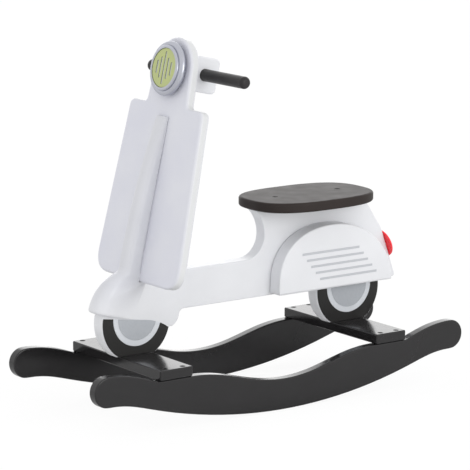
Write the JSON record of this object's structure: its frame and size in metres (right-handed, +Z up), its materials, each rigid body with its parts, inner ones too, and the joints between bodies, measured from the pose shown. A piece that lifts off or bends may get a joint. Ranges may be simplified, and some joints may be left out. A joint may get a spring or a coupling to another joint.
{
  "type": "rocking scooter",
  "caption": "Child's rocking toy shaped like a motor scooter: a white board body with seat, leg shield, handlebar and lamp on two black rockers.",
  "frame": {"origin": "on the floor, under the middle of the rockers' length and width", "axes": "+Z up, the front with the headlight towards -X, the rider's left towards -Y"},
  "size_m": [0.8, 0.29, 0.6516],
  "materials": {
    "white_board": "white satin lacquer on board",
    "black_board": "black gloss lacquer on board",
    "black_bar": "black satin lacquer on a round wooden bar",
    "bezel_metal": "silver metallised turned ring",
    "lens_green": "pale yellow green plastic with grey grille slots",
    "lamp_red": "glossy red plastic",
    "bare_wood": "plain beech",
    "stripe_grey": "light grey printed stripe",
    "tyre_print": "dark print under lacquer",
    "rim_print": "pale grey print under lacquer",
    "hub_print": "mid grey print under lacquer",
    "screw_steel": "blackened wood screw"
  },
  "bodies": {
    "root": {"rocker_left": "black_board", "rocker_right": "black_board", "front_cross_board": "black_board", "rear_cross_board": "black_board", "seat": "black_board", "centre_board": "white_board", "rear_cowl_left": "white_board", "rear_cowl_right": "white_board", "leg_shield": "white_board", "steering_block": "white_board", "front_fender": "white_board", "handlebar": "black_bar", "headlight_bezel": "bezel_metal", "headlight_lens": "lens_green", "tail_lamp": "lamp_red", "cowl_dowel_front": "bare_wood", "cowl_dowel_rear": "bare_wood", "cowl_stripe_left_1": "stripe_grey", "cowl_stripe_left_2": "stripe_grey", "cowl_stripe_left_3": "stripe_grey", "cowl_stripe_left_4": "stripe_grey", "cowl_stripe_left_5": "stripe_grey", "cowl_stripe_right_1": "stripe_grey", "cowl_stripe_right_2": "stripe_grey", "cowl_stripe_right_3": "stripe_grey", "cowl_stripe_right_4": "stripe_grey", "cowl_stripe_right_5": "stripe_grey", "front_tyre_left": "tyre_print", "front_tyre_right": "tyre_print", "front_rim_left": "rim_print", "front_rim_right": "rim_print", "front_hub_left": "hub_print", "front_hub_right": "hub_print", "rear_tyre_left": "tyre_print", "rear_tyre_right": "tyre_print", "rear_rim_left": "rim_print", "rear_rim_right": "rim_print", "rear_hub_left": "hub_print", "rear_hub_right": "hub_print", "front_board_screw_left_1": "screw_steel", "front_board_screw_left_2": "screw_steel", "front_board_screw_right_1": "screw_steel", "front_board_screw_right_2": "screw_steel", "front_foot_screw_1": "screw_steel", "front_foot_screw_2": "screw_steel", "seat_screw_front": "screw_steel", "rear_board_screw_left_1": "screw_steel", "rear_board_screw_left_2": "screw_steel", "rear_board_screw_right_1": "screw_steel", "rear_board_screw_right_2": "screw_steel", "rear_foot_screw_1": "screw_steel", "rear_foot_screw_2": "screw_steel", "seat_screw_rear": "screw_steel", "column_screw_lower": "screw_steel", "column_screw_upper": "screw_steel", "head_screw_lower": "screw_steel", "head_screw_upper": "screw_steel"}
  },
  "joints": []
}
